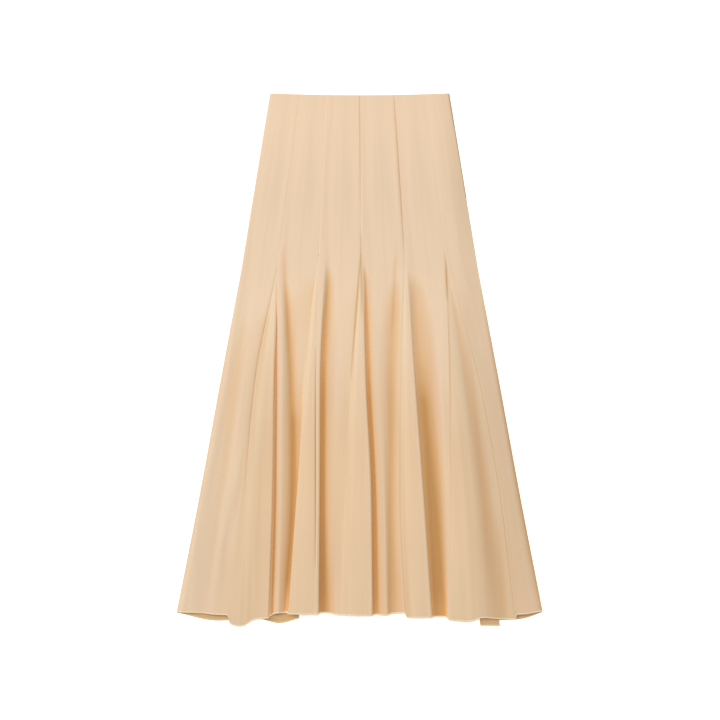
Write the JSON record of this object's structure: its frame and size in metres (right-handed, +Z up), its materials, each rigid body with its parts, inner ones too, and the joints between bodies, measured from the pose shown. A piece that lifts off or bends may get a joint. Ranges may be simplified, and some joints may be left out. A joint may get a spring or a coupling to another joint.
{
  "type": "pleated chiffon maxi skirt laid flat",
  "caption": "Long gored chiffon skirt laid flat on its back, smooth from waist to hip and flared to the hem by let-in godets that stand in soft folds.",
  "frame": {"origin": "centre of the bounding box's underside, on the surface the skirt lies on", "axes": "+Y from hem to waist along the centre of the skirt, +X to the right of someone looking down on its front, +Z up from the surface"},
  "size_m": [0.695, 1.012, 0.015],
  "materials": {
    "chiffon": "matte peach chiffon",
    "chiffon_godet": "matte peach chiffon, single layer",
    "chiffon_back": "matte peach chiffon, seen inside",
    "zip_tape": "matte woven zip tape"
  },
  "bodies": {
    "root": {"front_gore_1": "chiffon", "front_gore_2": "chiffon", "front_gore_3": "chiffon", "front_gore_4": "chiffon", "front_gore_5": "chiffon", "front_gore_6": "chiffon", "front_godet_1": "chiffon_godet", "front_godet_2": "chiffon_godet", "front_godet_3": "chiffon_godet", "front_godet_4": "chiffon_godet", "front_godet_5": "chiffon_godet", "back_gore_1": "chiffon_back", "back_gore_2": "chiffon_back", "back_gore_3": "chiffon_back", "back_gore_4": "chiffon_back", "back_gore_5": "chiffon_back", "back_gore_6": "chiffon_back", "back_godet_1": "chiffon_back", "back_godet_2": "chiffon_back", "back_godet_3": "chiffon_back", "back_godet_4": "chiffon_back", "back_godet_5": "chiffon_back", "side_zip": "zip_tape"}
  },
  "joints": []
}
